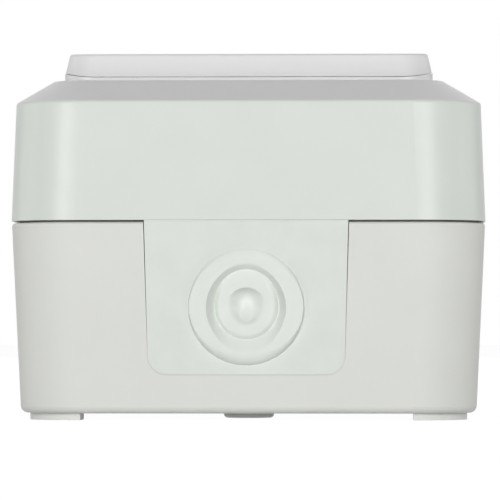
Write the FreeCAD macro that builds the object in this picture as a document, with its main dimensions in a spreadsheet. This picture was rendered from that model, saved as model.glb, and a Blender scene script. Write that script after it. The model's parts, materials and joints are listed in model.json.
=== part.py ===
import FreeCAD, Part
import math
import os
import re
import Sketcher
from FreeCAD import Rotation, Vector

# Driving dimensions, in millimetres and degrees
SIZES = {
    # Lid
    "lid_width": 66.0,
    "lid_length": 75.0,
    "lid_corner": 9.5,
    "shell_wall": 2.2,
    "lid_draft": 2.2,
    "skirt_height": 16.4,
    "bevel_run": 5.2,
    "bevel_rise": 3.12,
    "bevel_soft": 0.5,
    "bevel_inner_share": 0.73,
    "deck_soft": 0.6,
    # Joint between lid and base
    "parting_gap": 0.3,
    "base_step": 0.05,
    "tongue_step": 0.2,
    "tongue_wall": 0.9,
    "tongue_height": 2.2,
    "tongue_clearance": 0.25,
    "gasket_height": 1.2,
    "gasket_trim": 0.1,
    # Base box
    "base_height": 26.3,
    "base_draft": 2.6,
    "base_soft": 1.0,
    "rim_soft": 0.4,
    "foot_height": 0.95,
    "foot_size": 7.5,
    "foot_inset": 1.3,
    "fixing_spacing": 50.0,
    "fixing_hole": 4.5,
    "fixing_boss": 7.0,
    "fixing_boss_height": 0.75,
    "fixing_boss_soft": 0.5,
    # Cable entry
    "entry_width": 28.3,
    "entry_low_width": 27.0,
    "entry_sill": 5.3,
    "entry_corner": 2.6,
    "entry_gap": 0.12,
    "entry_top_gap": 0.06,
    "entry_flange": 1.5,
    "entry_flange_thickness": 1.6,
    "ring_lift": 14.6,
    "ring_diameter": 16.0,
    "ring_proud": 0.6,
    "ring_thickness": 1.9,
    "ring_soft": 1.1,
    "groove_diameter": 11.0,
    "groove_slope": 0.6,
    "groove_depth": 0.45,
    "core_diameter": 9.2,
    "core_soft": 0.5,
    "dimple_diameter": 5.2,
    "dimple_taper": 0.6,
    "dimple_depth": 0.45,
    "dimple_soft": 0.6,
    # Lid screws
    "lid_screw_across": 38.0,
    "lid_screw_along": 51.0,
    "lid_screw_diameter": 3.5,
    "lid_screw_length": 26.0,
    "lid_head_diameter": 6.0,
    "lid_head_height": 2.2,
    "lid_head_depth": 3.0,
    "lid_head_clearance": 0.3,
    "lid_slot_width": 1.0,
    "lid_slot_depth": 1.1,
    "lid_boss_wall": 1.0,
    "lid_hole_clearance": 0.25,
    "lid_pillar_wall": 2.0,
    "lid_pillar_gap": 0.1,
    "lid_seal_height": 0.6,
    "pilot_clearance": 0.05,
    "pilot_spare": 1.3,
    # Rocker
    "rocker_width": 51.4,
    "rocker_length": 60.4,
    "rocker_corner": 4.0,
    "rocker_height": 3.15,
    "rocker_draft": 13.0,
    "rocker_soft": 0.45,
    "rocker_top": 1.6,
    "rocker_wall": 1.5,
    "rocker_gap": 0.07,
    "rocker_swing": 3.2,
    "plinth_height": 0.48,
    "plinth_flat": 42.0,
    "plinth_curve": 22.5,
    "plinth_wall": 1.6,
    # Rocker pivots
    "pivot_height": 1.8,
    "pivot_diameter": 1.8,
    "pivot_clearance": 0.05,
    "pivot_reach": 2.3,
    "rib_spacing": 40.0,
    "rib_thickness": 2.4,
    "rib_end": 2.8,
    "lug_gap": 0.3,
    "lug_length": 5.0,
    "lug_cap": 0.6,
    # Drive finger and its seal
    "finger_width": 12.0,
    "finger_thickness": 2.0,
    "finger_tip": 3.0,
    "finger_drop": 13.3,
    "window_width": 20.0,
    "window_length": 12.0,
    "window_corner": 2.0,
    "window_trim": 0.05,
    "collar_wall": 1.2,
    "collar_height": 1.3,
    "collar_clearance": 0.3,
    "seal_lip": 1.3,
    "seal_upper": 0.8,
    "seal_lower": 1.2,
    "seal_clearance": 0.5,
    # Toggle
    "toggle_drop": 5.5,
    "toggle_width": 17.2,
    "toggle_thickness": 6.4,
    "toggle_above": 2.5,
    "toggle_below": 4.0,
    "toggle_side_gap": 0.3,
    "trunnion_diameter": 3.0,
    "trunnion_clearance": 0.05,
    "trunnion_length": 2.7,
    "fork_width": 14.0,
    "fork_prong": 1.8,
    "fork_clearance": 0.12,
    "fork_above": 1.5,
    "stem_diameter": 6.4,
    "stem_length": 4.5,
    "stem_bore_top": 0.5,
    "plunger_diameter": 3.4,
    "plunger_clearance": 0.1,
    "plunger_length": 6.3,
    "plunger_soft": 1.5,
    "plunger_gap": 0.1,
    "spring_wire": 0.5,
    "spring_diameter": 2.6,
    "spring_turns": 4.0,
    # Contacts
    "contact_drop": 12.0,
    "contact_swing": 9.0,
    "arm_width": 6.0,
    "arm_length": 23.0,
    "arm_thickness": 0.8,
    "arm_lift": 0.3,
    "arm_pivot_diameter": 1.2,
    "arm_pivot_clearance": 0.05,
    "tip_spacing": 19.0,
    "tip_diameter": 3.0,
    "tip_height": 0.8,
    "tip_clearance": 0.03,
    "fixed_tip_diameter": 3.4,
    # Mechanism block
    "tray_width": 40.0,
    "tray_length": 40.0,
    "tray_wall": 2.0,
    "tray_floor": 2.0,
    "tray_cap": 3.0,
    "cheek_thickness": 2.5,
    "cheek_length": 10.0,
    "link_clearance": 0.2,
    "ear_lift": 9.0,
    "ear_length": 8.0,
    "ear_width": 8.0,
    "ear_thickness": 3.0,
    "cover_thickness": 1.8,
    "cover_window_width": 19.0,
    "cover_window_length": 14.0,
    "access_hole": 6.0,
    "block_screw_inset": 4.5,
    "block_screw_diameter": 2.9,
    "block_screw_length": 10.0,
    "block_screw_clearance": 0.25,
    "block_head_diameter": 5.5,
    "block_head_height": 2.2,
    "block_slot_width": 0.9,
    "block_slot_depth": 1.0,
    "block_pillar_wall": 2.0,
    # Terminals
    "post_height": 5.0,
    "post_width": 5.6,
    "post_thickness": 2.4,
    "strip_thickness": 1.0,
    "terminal_width": 5.8,
    "terminal_length": 5.2,
    "terminal_height": 8.0,
    "terminal_side_gap": 0.3,
    "wire_hole": 3.0,
    "wire_height": 4.0,
    "wire_port": 4.0,
    "terminal_screw_diameter": 2.5,
    "terminal_screw_reach": 2.4,
    "terminal_screw_clearance": 0.05,
    "terminal_head_diameter": 4.6,
    "terminal_head_height": 1.8,
    "terminal_slot_width": 0.8,
    "terminal_slot_depth": 0.9,
    "earth_across": 19.0,
    "earth_inset": 11.2,
    "earth_seat_height": 7.0,
}

# Levels above the wall plane
UNDERSIDE = "foot_height"
FLOOR = "(foot_height + shell_wall)"
RIM = "(foot_height + base_height)"
SILL = "(foot_height + entry_sill)"
LID = f"({RIM} + parting_gap)"
BEVEL = f"({LID} + skirt_height)"
DECK = f"({BEVEL} + bevel_rise)"
CEILING = f"({DECK} - shell_wall)"
PIVOT = f"({DECK} + pivot_height)"
TOGGLE = f"({PIVOT} - finger_drop - toggle_drop)"
CONTACT = f"({TOGGLE} - contact_drop)"
TRAY_FLOOR = f"({CONTACT} - post_height)"
TRAY_BASE = f"({TRAY_FLOOR} - tray_floor)"
TRAY_TOP = f"({TOGGLE} + tray_cap)"
EAR = f"({TRAY_BASE} + ear_lift)"
HEAD_SEAT = f"({DECK} - lid_head_depth)"
EARTH_SEAT = f"({FLOOR} + earth_seat_height)"

# Outlines that several pieces share
BASE_WIDTH = "(lid_width - 2 * base_step)"
BASE_LENGTH = "(lid_length - 2 * base_step)"
BASE_CORNER = "(lid_corner - base_step)"
BASE_LEAN = "(base_height * tan(base_draft))"
TONGUE_IN = "(shell_wall - tongue_step)"
TONGUE_OUT = f"({TONGUE_IN} - tongue_wall)"
RIDGE_RISE = "(plinth_height + rocker_length / 2 * tan(rocker_swing))"
ROCKER_EDGE = f"(({RIDGE_RISE} - pivot_height) * cos(rocker_swing) + rocker_gap)"
ROCKER_CEILING = f"({ROCKER_EDGE} + rocker_height - rocker_top)"
TOGGLE_SWING = "(rocker_swing * finger_drop / toggle_drop)"
RING_FACE = f"({BASE_LENGTH} / 2 - (base_height - ring_lift) * tan(base_draft))"
RIB_OUTER = "(rib_spacing / 2 + rib_thickness / 2)"
CHEEK = "(toggle_width / 2 + toggle_side_gap)"
FIXED_TIP_DROP = (
    "((tip_spacing / 2 + tip_diameter / 2) * sin(contact_swing)"
    " + (tip_height - arm_lift) * cos(contact_swing) + tip_clearance)"
)
TERMINAL_ALONG = "(tray_length / 2 - tray_wall - terminal_side_gap - terminal_length / 2)"
COMMON_ACROSS = "(tray_width / 2 - tray_wall - terminal_side_gap - terminal_width / 2)"
EARTH_ALONG = f"(earth_inset - {BASE_LENGTH} / 2)"

# Distance within which a face or an edge counts as lying where it is looked for
NEAR = 0.05

doc = FreeCAD.newDocument("WeatherproofSwitch")
sheet = doc.addObject("Spreadsheet::Sheet", "Sizes")
for row, (alias, value) in enumerate(SIZES.items(), 1):
    sheet.set(f"A{row}", alias)
    sheet.set(f"B{row}", str(value))
    sheet.setAlias(f"B{row}", alias)
doc.recompute()


def words(text):
    """The expression with each size read from the sheet."""
    return re.sub(r"[a-z_]+", lambda m: "Sizes." + m[0] if m[0] in SIZES else m[0], text)


def number(text):
    return float(sheet.evalExpression(words(text)))


def bind(thing, path, text):
    thing.setExpression(path, words(text))


def new_body(label):
    body = doc.addObject("PartDesign::Body", label)
    body.Label = label
    return body


def sketch(body, plane, x="", y="", z=""):
    """A sketch on one of the body's own planes, moved along its three local axes."""
    made = body.newObject("Sketcher::SketchObject", "Sketch")
    support = [f for f in body.Origin.OriginFeatures if f.Role == plane][0]
    made.AttachmentSupport = [(support, "")]
    made.MapMode = "FlatFace"
    for axis, text in (("x", x), ("y", y), ("z", z)):
        if text:
            bind(made, f"AttachmentOffset.Base.{axis}", text)
    return made


def dimension(made, kind, *args):
    """A dimension of a sketch, bound to an expression given last."""
    text = args[-1]
    index = made.addConstraint(Sketcher.Constraint(kind, *args[:-1], number(text)))
    bind(made, f"Constraints[{index}]", text)


def polygon(made, points):
    """A closed outline whose corners are given as pairs of expressions."""
    spots = [Vector(number(x), number(y), 0) for x, y in points]
    count = len(spots)
    lines = [
        made.addGeometry(Part.LineSegment(spots[i], spots[(i + 1) % count]), False)
        for i in range(count)
    ]
    for i in range(count):
        made.addConstraint(Sketcher.Constraint("Coincident", lines[i], 2, lines[(i + 1) % count], 1))
    for line, (x, y) in zip(lines, points):
        dimension(made, "DistanceX", -1, 1, line, 1, x)
        dimension(made, "DistanceY", -1, 1, line, 1, y)


def rectangle(made, width, length):
    x, y = f"({width}) / 2", f"({length}) / 2"
    polygon(made, [(f"-{x}", f"-{y}"), (x, f"-{y}"), (x, y), (f"-{x}", y)])


def rounded(made, width, length, corner):
    """A rectangle with round corners, centred on the sketch's origin."""
    x, y, r = number(width) / 2, number(length) / 2, number(corner)
    quarter = math.pi / 2
    lines, arcs = [], []
    sides = [
        (Vector(r - x, -y, 0), Vector(x - r, -y, 0)),
        (Vector(x, r - y, 0), Vector(x, y - r, 0)),
        (Vector(x - r, y, 0), Vector(r - x, y, 0)),
        (Vector(-x, y - r, 0), Vector(-x, r - y, 0)),
    ]
    signs = ((1, -1), (1, 1), (-1, 1), (-1, -1))
    centres = [Vector(i * (x - r), k * (y - r), 0) for i, k in signs]
    for i in range(4):
        lines.append(made.addGeometry(Part.LineSegment(*sides[i]), False))
        circle = Part.Circle(centres[i], Vector(0, 0, 1), r)
        arcs.append(made.addGeometry(Part.ArcOfCircle(circle, (i - 1) * quarter, i * quarter), False))
    for i in range(4):
        made.addConstraint(Sketcher.Constraint("Tangent", lines[i], 2, arcs[i], 1))
        made.addConstraint(Sketcher.Constraint("Tangent", arcs[i], 2, lines[(i + 1) % 4], 1))
        made.addConstraint(Sketcher.Constraint("Vertical" if i % 2 else "Horizontal", lines[i]))
    for i in range(1, 4):
        made.addConstraint(Sketcher.Constraint("Equal", arcs[0], arcs[i]))
    made.addConstraint(Sketcher.Constraint("Symmetric", arcs[0], 3, arcs[2], 3, -1, 1))
    dimension(made, "Radius", arcs[0], corner)
    dimension(made, "DistanceX", lines[3], 1, lines[1], 1, width)
    dimension(made, "DistanceY", lines[0], 1, lines[2], 1, length)


def disc(made, diameter, x="0", y="0"):
    centre = Vector(number(x), number(y), 0)
    circle = made.addGeometry(Part.Circle(centre, Vector(0, 0, 1), number(diameter) / 2), False)
    dimension(made, "Diameter", circle, diameter)
    dimension(made, "DistanceX", -1, 1, circle, 3, x)
    dimension(made, "DistanceY", -1, 1, circle, 3, y)


def pad(body, made, length, backwards=False):
    feature = body.newObject("PartDesign::Pad", "Pad")
    feature.Profile = made
    feature.Reversed = backwards
    bind(feature, "Length", length)
    return feature


def pocket(body, made, length, backwards=False):
    feature = body.newObject("PartDesign::Pocket", "Pocket")
    feature.Profile = made
    feature.Reversed = backwards
    bind(feature, "Length", length)
    return feature


def picked(kind, shapes, wanted):
    """The names of the faces or edges that pass a test."""
    return [f"{kind}{i}" for i, shape in enumerate(shapes, 1) if wanted(shape)]


def at_height(level):
    """A test for faces and edges that lie in one horizontal plane."""
    z = number(level)
    return lambda shape: abs(shape.BoundBox.ZMin - z) + abs(shape.BoundBox.ZMax - z) < NEAR


def corner_at(across, level):
    """A test for the two edges along Y that stand at one level, to the left and right of the middle."""
    x, z = number(across), number(level)

    def wanted(edge):
        ends = edge.BoundBox
        straight = ends.XLength + ends.ZLength < NEAR
        return straight and abs(abs(ends.XMin) - x) + abs(ends.ZMin - z) < NEAR

    return wanted


def outermost(width, length, level):
    """A test for the edges at one level that reach the sides of an outline."""
    x, y, flat = number(width) / 2, number(length) / 2, at_height(level)

    def wanted(edge):
        ends = edge.BoundBox
        reach = max(ends.XMax - x, -ends.XMin - x, ends.YMax - y, -ends.YMin - y)
        return flat(edge) and reach > -NEAR

    return wanted


def soften(body, feature, radius, wanted):
    """A fillet on the edges of the feature that pass a test."""
    doc.recompute()
    fillet = body.newObject("PartDesign::Fillet", "Fillet")
    fillet.Base = (feature, picked("Edge", feature.Shape.Edges, wanted))
    bind(fillet, "Radius", radius)
    return fillet


def drafted(body, width, length, corner, low, high, angle, widest="low"):
    """A round-cornered block whose sides lean in from its widest level."""
    outline = sketch(body, "XY_Plane", z=low)
    rectangle(outline, width, length)
    block = pad(body, outline, f"{high} - {low}")
    doc.recompute()
    faces = block.Shape.Faces
    neutral = at_height(low if widest == "low" else high)
    lean = body.newObject("PartDesign::Draft", "Draft")
    lean.Base = (block, picked("Face", faces, lambda face: face.BoundBox.ZLength > NEAR))
    lean.NeutralPlane = (block, picked("Face", faces, neutral))
    lean.Reversed = widest != "low"
    bind(lean, "Angle", angle)
    return soften(body, lean, corner, lambda edge: edge.BoundBox.ZLength > NEAR)


def bevelled(body, feature, level, rise, run):
    """A wide bevel round the block's top."""
    doc.recompute()
    bevel = body.newObject("PartDesign::Chamfer", "Chamfer")
    bevel.Base = (feature, picked("Edge", feature.Shape.Edges, at_height(level)))
    bevel.ChamferType = "Two distances"
    bind(bevel, "Size", rise)
    bind(bevel, "Size2", run)
    return bevel


def plate(body, level, width, length, corner):
    """A round-cornered outline at a level."""
    made = sketch(body, "XY_Plane", z=level)
    rounded(made, width, length, corner)
    return made


def rim_inset(depth):
    """The base's rim outline, moved in by a depth."""
    return (f"{BASE_WIDTH} - 2 * {depth}", f"{BASE_LENGTH} - 2 * {depth}", f"{BASE_CORNER} - {depth}")


def ring(body, level, outer, inner):
    """Two round-cornered outlines, one inside the other, at a level."""
    made = sketch(body, "XY_Plane", z=level)
    rounded(made, *outer)
    rounded(made, *inner)
    return made


def column(body, level, diameter, x, y, length):
    made = sketch(body, "XY_Plane", x, y, level)
    disc(made, diameter)
    return pad(body, made, length)


def bore(body, level, diameter, x, y, length):
    """A round hole that runs down from a level."""
    made = sketch(body, "XY_Plane", x, y, level)
    disc(made, diameter)
    return pocket(body, made, length)


def box(label, x, y, z):
    """A block between two expressions along each axis."""
    made = doc.addObject("Part::Box", label)
    for axis, side, (low, high) in zip("xyz", ("Length", "Width", "Height"), (x, y, z)):
        bind(made, side, f"({high}) - ({low})")
        bind(made, f"Placement.Base.{axis}", low)
    return made


def rod(label, diameter, along, at, span):
    """A round bar along one axis, at two expressions on the other two axes."""
    made = doc.addObject("Part::Cylinder", label)
    bind(made, "Radius", f"({diameter}) / 2")
    bind(made, "Height", f"({span[1]}) - ({span[0]})")
    directions = {"x": Vector(1, 0, 0), "y": Vector(0, 1, 0), "z": Vector(0, 0, 1)}
    made.Placement.Rotation = Rotation(directions["z"], directions[along])
    bind(made, f"Placement.Base.{along}", span[0])
    for axis, text in zip([a for a in "xyz" if a != along], at):
        bind(made, f"Placement.Base.{axis}", text)
    return made


def joined(label, pieces):
    made = doc.addObject("Part::MultiFuse", label)
    made.Shapes = pieces
    made.Refine = True
    return made


def without(label, piece, tools):
    tool = tools[0] if len(tools) == 1 else joined(f"{label}_tools", tools)
    made = doc.addObject("Part::Cut", label)
    made.Base = piece
    made.Tool = tool
    made.Refine = True
    return made


def within(label, piece, limit):
    made = doc.addObject("Part::Common", label)
    made.Base = piece
    made.Tool = limit
    made.Refine = True
    return made


def group(label, pieces):
    made = doc.addObject("Part::Compound", label)
    made.Links = pieces
    return made


def tilt(made, level, angle):
    """Hangs a piece that is built round its own pivot at that pivot's level, turned about X."""
    made.Placement.Rotation = Rotation(Vector(1, 0, 0), number(angle))
    bind(made, "Placement.Rotation.Angle", angle)
    bind(made, "Placement.Base.z", level)
    return made


def screw(label, head_diameter, head_height, shank, length, slot_width, slot_depth, x, y, seat):
    """A slotted cheese-head screw whose head stands on its seat."""
    body = new_body(label)
    half, core = f"({head_diameter}) / 2", f"({shank}) / 2"
    profile = sketch(body, "XZ_Plane")
    stem = [("0", f"-{length}"), (core, f"-{length}"), (core, "0")]
    head = [(half, "0"), (half, head_height), ("0", head_height)]
    polygon(profile, stem + head)
    turned = body.newObject("PartDesign::Revolution", "Revolution")
    turned.Profile = profile
    turned.ReferenceAxis = (profile, ["V_Axis"])
    slot = sketch(body, "XY_Plane", z=head_height)
    rectangle(slot, f"2 * {head_diameter}", slot_width)
    pocket(body, slot, slot_depth)
    for axis, text in (("x", x), ("y", y), ("z", seat)):
        bind(body, f"Placement.Base.{axis}", text)
    return body


def scoop(label, span):
    """The space above a plinth's crown: level in the middle and rising in an arc to each side."""
    half = "plinth_flat / 2"
    parts = [box(f"{label}_middle", (f"-{half}", half), span, ("0", "plinth_curve"))]
    for side in ("-", ""):
        at = (f"{side}{half}", "plinth_curve")
        parts.append(rod(f"{label}_end", "2 * plinth_curve", "y", at, span))
    return joined(label, parts)


def make_feet():
    """The four corner feet: a shallow plate with a cross cleared out of it."""
    body = new_body("foot_plate")
    width = f"({BASE_WIDTH} - 2 * {BASE_LEAN} - 2 * foot_inset)"
    length = f"({BASE_LENGTH} - 2 * {BASE_LEAN} - 2 * foot_inset)"
    pad(body, plate(body, "0", width, length, f"{BASE_CORNER} - foot_inset"), "foot_height")
    wide, long = f"({width} / 2 - foot_size)", f"({length} / 2 - foot_size)"
    deep = ("-foot_height", "2 * foot_height")
    bars = [
        box("foot_gap_along", (f"-{wide}", wide), (f"-{length}", length), deep),
        box("foot_gap_across", (f"-{width}", width), (f"-{long}", long), deep),
    ]
    return without("feet", body, bars)


def make_base():
    body = new_body("base_shell")
    block = drafted(body, BASE_WIDTH, BASE_LENGTH, BASE_CORNER, UNDERSIDE, RIM, "base_draft", "high")
    doc.recompute()
    shell = body.newObject("PartDesign::Thickness", "Thickness")
    shell.Base = (block, picked("Face", block.Shape.Faces, at_height(RIM)))
    shell.Reversed = True
    shell.Join = "Intersection"
    bind(shell, "Value", "shell_wall")
    shell = soften(body, shell, "base_soft", at_height(UNDERSIDE))
    soften(body, shell, "rim_soft", outermost(BASE_WIDTH, BASE_LENGTH, RIM))
    pad(body, ring(body, RIM, rim_inset(TONGUE_OUT), rim_inset(TONGUE_IN)), "tongue_height")

    # Wall fixings
    for side in ("-", ""):
        at = ("0", f"{side}fixing_spacing / 2")
        low = f"({UNDERSIDE} - fixing_boss_height)"
        boss = column(body, low, "fixing_boss", *at, "fixing_boss_height")
        soften(body, boss, "fixing_boss_soft", at_height(low))
        bore(body, FLOOR, "fixing_hole", *at, FLOOR)

    # Pillars for the lid screws and the mechanism, and the earth terminal's seat
    for side in ("-", ""):
        at = (f"{side}lid_screw_across / 2", f"{side}lid_screw_along / 2")
        pilot = "(lid_screw_diameter + 2 * pilot_clearance)"
        column(body, FLOOR, f"{pilot} + 2 * lid_pillar_wall", *at, f"{RIM} - {FLOOR}")
        depth = f"{RIM} - {HEAD_SEAT} - lid_seal_height + lid_screw_length + pilot_spare"
        bore(body, RIM, pilot, *at, depth)
        at = (f"{side}(tray_width / 2 + block_screw_inset)", "0")
        pilot = "(block_screw_diameter + 2 * pilot_clearance)"
        column(body, FLOOR, f"{pilot} + 2 * block_pillar_wall", *at, f"{EAR} - {FLOOR}")
        bore(body, EAR, pilot, *at, "block_screw_length - ear_thickness + pilot_spare")
    seat = sketch(body, "XY_Plane", "earth_across", EARTH_ALONG, FLOOR)
    rectangle(seat, "terminal_width", "terminal_length")
    pad(body, seat, "earth_seat_height")

    # Open-topped cut for the cable entry
    front = sketch(body, "XZ_Plane", z=f"{BASE_LENGTH} / 2 + shell_wall")
    high, low, crest = "entry_width / 2", "entry_low_width / 2", f"{RIM} + 2 * tongue_height"
    right = [(low, SILL), (high, RIM), (high, crest)]
    left = [(f"-{x}", level) for x, level in reversed(right)]
    polygon(front, right + left)
    cut = pocket(body, front, f"3 * shell_wall + {BASE_LEAN}")
    soften(body, cut, "entry_corner", corner_at(low, SILL))
    return joined("base_box", [body, make_feet()])


def make_entry():
    """The soft insert: a plate built upright, with its rim at z = 0, and then leant with the wall."""
    rise = f"({RIM} - {SILL})"
    body = new_body("entry_plate")

    def outline(depth, grow, top):
        made = sketch(body, "XZ_Plane", z=f"-({depth})")
        high, low = f"(entry_width / 2 + {grow})", f"(entry_low_width / 2 + {grow})"
        bottom = f"-({rise} + {grow})"
        polygon(made, [(f"-{low}", bottom), (low, bottom), (high, top), (f"-{high}", top)])
        return made

    def low_corner(grow):
        return corner_at(f"entry_low_width / 2 + {grow}", f"-({rise} + {grow})")

    back = "(shell_wall * cos(base_draft) + entry_top_gap)"
    face = outline("0", "-entry_gap", "parting_gap - entry_top_gap")
    plug = pad(body, face, f"{back} + entry_flange_thickness", True)
    soften(body, plug, "entry_corner - entry_gap", low_corner("-entry_gap"))
    flange = pad(body, outline(back, "entry_flange", "0"), "entry_flange_thickness", True)
    soften(body, flange, "entry_corner + entry_flange", low_corner("entry_flange"))
    bind(body, "Placement.Base.y", f"-{BASE_LENGTH} / 2")
    bind(body, "Placement.Base.z", RIM)
    body.Placement.Rotation = Rotation(Vector(1, 0, 0), number("base_draft"))
    bind(body, "Placement.Rotation.Angle", "base_draft")

    # Length of tongue that completes the base's own
    half = "(entry_width / 2 - entry_gap)"
    depth = (f"{TONGUE_OUT} - {BASE_LENGTH} / 2", f"{TONGUE_IN} - {BASE_LENGTH} / 2")
    tongue = box("entry_tongue", (f"-{half}", half), depth, (RIM, f"{RIM} + tongue_height"))

    # Stepped ring membrane, turned about Y
    stud = new_body("entry_ring")
    profile = sketch(stud, "XY_Plane")
    outer, groove = "ring_diameter / 2", "groove_diameter / 2"
    core, dimple = "core_diameter / 2", "dimple_diameter / 2"
    polygon(
        profile,
        [
            ("0", "ring_thickness"),
            (outer, "ring_thickness"),
            (outer, "-ring_proud"),
            (groove, "-ring_proud"),
            (f"{groove} - groove_slope", "groove_depth"),
            (core, "groove_depth"),
            (core, "-ring_proud"),
            (dimple, "-ring_proud"),
            (f"{dimple} - dimple_taper", "dimple_depth"),
            ("0", "dimple_depth"),
        ],
    )
    turned = stud.newObject("PartDesign::Revolution", "Revolution")
    turned.Profile = profile
    turned.ReferenceAxis = (profile, ["V_Axis"])
    proud = -number("ring_proud")

    def crest(*diameters):
        """A test for the circles of these diameters on the ring's outer face."""
        radii = [number(diameter) / 2 for diameter in diameters]

        def wanted(edge):
            ends = edge.BoundBox
            flat = abs(ends.YMin - proud) + abs(ends.YMax - proud) < NEAR
            return flat and any(abs(ends.XMax - r) < NEAR for r in radii)

        return wanted

    turned = soften(stud, turned, "ring_soft", crest("ring_diameter", "groove_diameter"))
    turned = soften(stud, turned, "core_soft", crest("core_diameter"))
    soften(stud, turned, "dimple_soft", crest("dimple_diameter"))
    bind(stud, "Placement.Base.y", f"-{RING_FACE}")
    bind(stud, "Placement.Base.z", "foot_height + ring_lift")

    reach = (f"-{BASE_LENGTH} / 2 - shell_wall", f"-{BASE_LENGTH} / 2 + 4 * shell_wall")
    hole = rod("entry_hole", "ring_diameter - ring_soft", "y", ("0", "foot_height + ring_lift"), reach)
    return joined("cable_entry_insert", [without("entry_blank", body, [hole]), tongue, stud])


def make_lid():
    hollow = new_body("lid_hollow")
    inner = ("lid_width - 2 * shell_wall", "lid_length - 2 * shell_wall", "lid_corner - shell_wall")
    core = drafted(hollow, *inner, LID, CEILING, "lid_draft")
    bevelled(hollow, core, CEILING, "bevel_rise * bevel_inner_share", "bevel_run * bevel_inner_share")

    body = new_body("lid_shell")
    block = drafted(body, "lid_width", "lid_length", "lid_corner", LID, DECK, "lid_draft")
    crown = bevelled(body, block, DECK, "bevel_rise", "bevel_run")
    crown = soften(body, crown, "bevel_soft", at_height(BEVEL))
    soften(body, crown, "deck_soft", at_height(DECK))
    boolean = body.newObject("PartDesign::Boolean", "Boolean")
    boolean.Type = "Cut"
    boolean.addObjects([hollow])

    # Rebate for the tongue and gasket
    groove = plate(body, LID, *rim_inset(f"({TONGUE_OUT} - tongue_clearance)"))
    pocket(body, groove, "tongue_height + gasket_height - parting_gap", True)

    # Screw bosses with sunk heads
    for side in ("-", ""):
        at = (f"{side}lid_screw_across / 2", f"{side}lid_screw_along / 2")
        sunk = "(lid_head_diameter + 2 * lid_head_clearance)"
        foot = f"({RIM} + lid_pillar_gap)"
        column(body, foot, f"{sunk} + 2 * lid_boss_wall", *at, f"{DECK} - {foot} - shell_wall / 2")
        bore(body, DECK, sunk, *at, "lid_head_depth")
        bore(body, DECK, "lid_screw_diameter + 2 * lid_hole_clearance", *at, f"{DECK} - {foot}")

    # Window with an upstand round it
    grow = "2 * (seal_lip + collar_clearance)"
    space = (f"window_width + {grow}", f"window_length + {grow}", f"window_corner + {grow} / 2")
    walls = "2 * collar_wall"
    guard = (f"{space[0]} + {walls}", f"{space[1]} + {walls}", f"{space[2]} + {walls} / 2")
    pad(body, ring(body, DECK, guard, space), "collar_height")
    pocket(body, plate(body, DECK, "window_width", "window_length", "window_corner"), "1.5 * shell_wall")

    # Plinth under the rocker's skirt: a ridge across the middle and a slope to each end
    rail = new_body("plinth_blank")
    outer = ("rocker_width", "rocker_length", "rocker_corner")
    walls = "2 * plinth_wall"
    inner = (f"rocker_width - {walls}", f"rocker_length - {walls}", f"rocker_corner - {walls} / 2")
    root = f"({DECK} - shell_wall / 2)"
    pad(rail, ring(rail, root, outer, inner), f"{PIVOT} - {root} + rocker_height")
    ridge = f"{DECK} + {RIDGE_RISE}"
    clear = [
        tilt(scoop("near_space", ("-rocker_length", "plinth_wall")), ridge, "rocker_swing"),
        tilt(scoop("far_space", ("-plinth_wall", "rocker_length")), ridge, "-rocker_swing"),
    ]
    plinth = without("plinth", rail, clear)

    # Bearings for the rocker's pins, inside the plinth's long sides
    near = f"({RIB_OUTER} + lug_gap)"
    far = "(rocker_width / 2 - rocker_wall - lug_gap)"
    top = f"({PIVOT} + pivot_diameter / 2 + pivot_clearance + lug_cap)"
    deep = f"({RIB_OUTER} + pivot_reach + pivot_clearance)"
    eye = "pivot_diameter + 2 * pivot_clearance"
    lugs, holes = [], []
    for side in ("left", "right"):
        span = (f"-{far}", f"-{near}") if side == "left" else (near, far)
        drill = (f"-{deep}", f"-{RIB_OUTER}") if side == "left" else (RIB_OUTER, deep)
        lugs.append(box(f"lug_{side}", span, ("-lug_length / 2", "lug_length / 2"), (root, top)))
        holes.append(rod(f"lug_hole_{side}", eye, "x", ("0", PIVOT), drill))
    return without("lid", joined("lid_blank", [body, plinth] + lugs), holes)


def make_gasket():
    body = new_body("lid_gasket")
    outer, inner = rim_inset(f"({TONGUE_OUT} - gasket_trim)"), rim_inset(f"({TONGUE_IN} - gasket_trim)")
    pad(body, ring(body, f"{RIM} + tongue_height", outer, inner), "gasket_height")
    return body


def make_lid_screws():
    screws, seals = [], []
    for side in ("-", ""):
        at = (f"{side}lid_screw_across / 2", f"{side}lid_screw_along / 2")
        screws.append(
            screw(
                "lid_screw",
                "lid_head_diameter",
                "lid_head_height",
                "lid_screw_diameter",
                "lid_screw_length",
                "lid_slot_width",
                "lid_slot_depth",
                *at,
                f"{HEAD_SEAT} + lid_seal_height",
            )
        )
        level = (HEAD_SEAT, f"{HEAD_SEAT} + lid_seal_height")
        disc_blank = rod("seal_disc", "lid_head_diameter", "z", at, level)
        hole = rod("seal_hole", "lid_screw_diameter + 2 * pilot_clearance", "z", at, level)
        seals.append(without("lid_seal", disc_blank, [hole]))
    return [group("lid_screws", screws), group("lid_screw_seals", seals)]


def make_window_seal():
    body = new_body("window_seal")

    def outline(level, grow):
        sides = ("window_width", "window_length")
        return plate(body, level, *[f"{side} + 2 * {grow}" for side in sides], f"window_corner + {grow}")

    pad(body, outline(f"{CEILING} - seal_lower", "seal_lip"), "seal_lower")
    pad(body, outline(CEILING, "(-window_trim)"), "shell_wall")
    pad(body, outline(DECK, "seal_lip"), "seal_upper")
    slot = sketch(body, "XY_Plane", z=f"{DECK} + seal_upper")
    rectangle(slot, "finger_width + 2 * seal_clearance", "finger_thickness + 2 * seal_clearance")
    pocket(body, slot, "seal_upper + shell_wall + seal_lower")
    return body


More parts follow.
